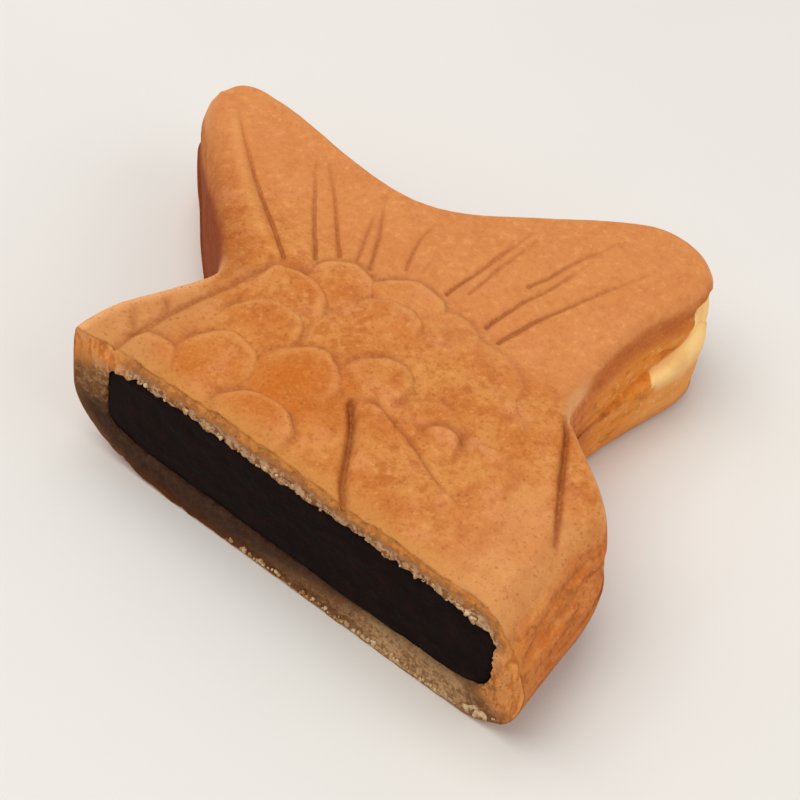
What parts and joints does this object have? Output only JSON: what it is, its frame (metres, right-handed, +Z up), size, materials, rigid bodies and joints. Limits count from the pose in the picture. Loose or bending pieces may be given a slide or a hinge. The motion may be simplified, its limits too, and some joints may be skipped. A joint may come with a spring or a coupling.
{
  "type": "taiyaki",
  "caption": "Tail half of a fish-shaped filled cake, cut across its middle, with dark bean paste showing at the cut.",
  "frame": {"origin": "centre of the bounding box, on the floor", "axes": "+X from the cut to the tail, +Y from belly to back, +Z up, out of the side that lies on top"},
  "size_m": [0.082, 0.1052, 0.0261],
  "materials": {
    "crust": "matte baked batter, orange tan with fine pores and darker specks, pale crumb where it is cut",
    "paste": "smooth, slightly moist, nearly black bean paste"
  },
  "bodies": {
    "root": {"cake": "crust", "filling": "paste"}
  },
  "joints": []
}
